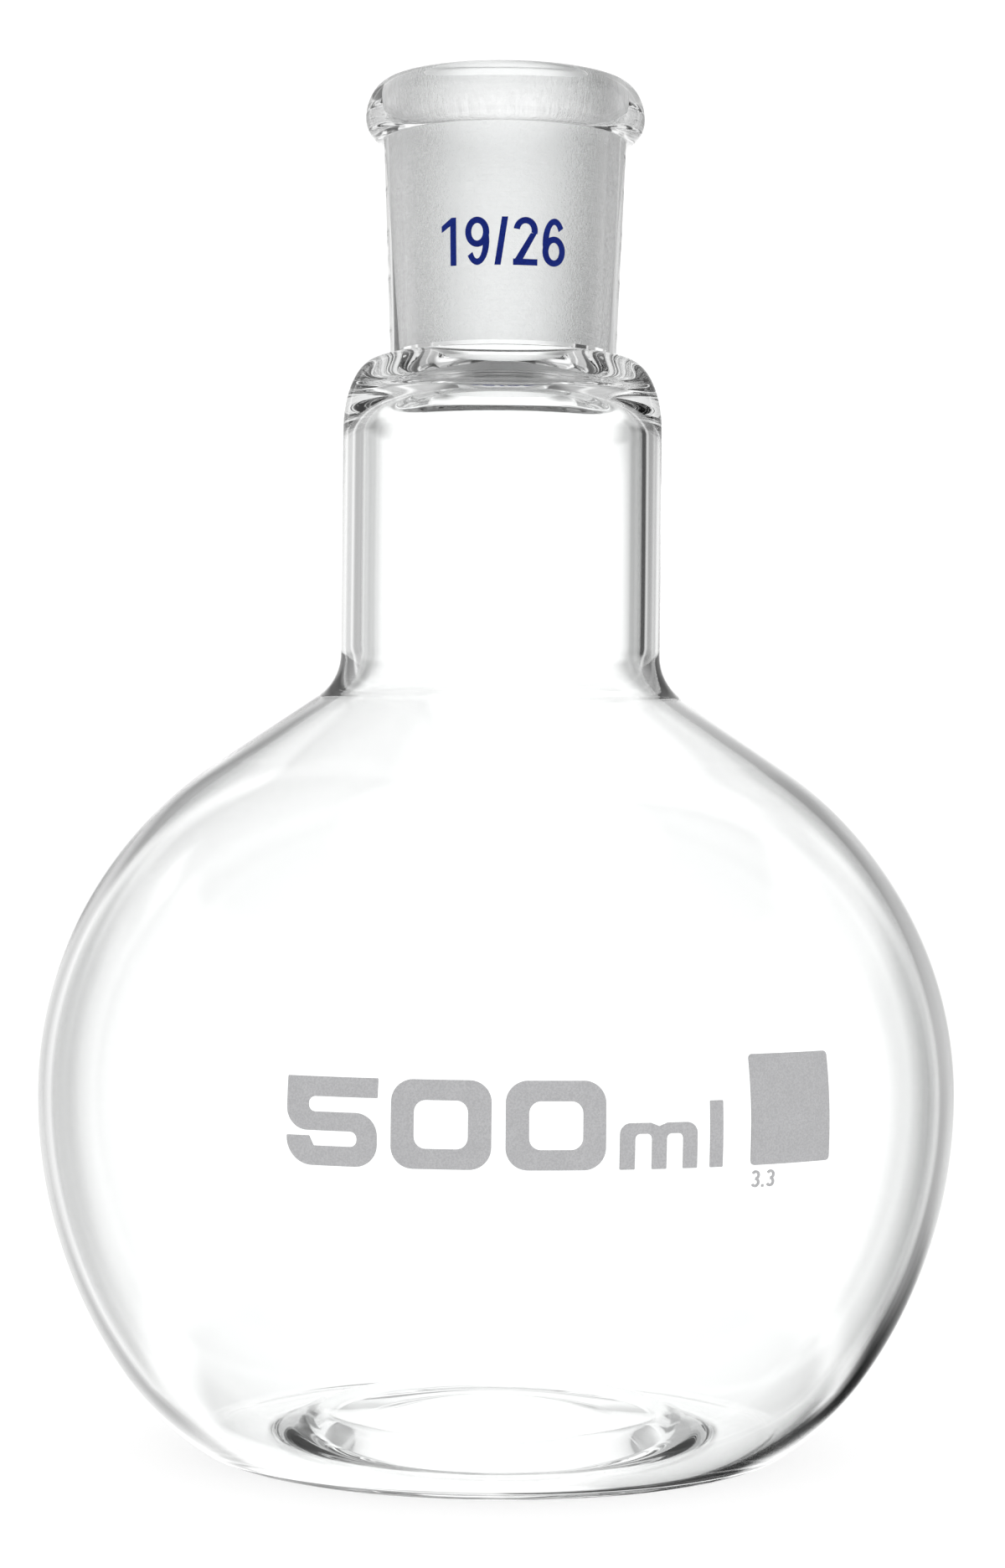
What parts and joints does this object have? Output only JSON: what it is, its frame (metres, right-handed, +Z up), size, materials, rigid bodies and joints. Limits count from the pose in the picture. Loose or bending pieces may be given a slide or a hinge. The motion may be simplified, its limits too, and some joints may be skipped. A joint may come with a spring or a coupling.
{
  "type": "florence flask",
  "caption": "Flat-bottomed round laboratory flask of clear blown glass, with a short straight neck and a ground taper socket with a beaded rim.",
  "frame": {"origin": "on the axis, in the plane of the ring that the flask stands on", "axes": "+Z up along the flask's axis towards the mouth; the printed marks face -Y"},
  "size_m": [0.105, 0.1052, 0.1569],
  "materials": {
    "glass": "clear fire-polished borosilicate glass, ground matt inside the socket",
    "enamel": "matt grey enamel fired on the glass",
    "blue_enamel": "deep blue enamel fired on the glass"
  },
  "bodies": {
    "root": {"flask": "glass", "capacity_mark": "enamel", "marking_spot": "enamel", "joint_size_mark": "blue_enamel"}
  },
  "joints": []
}
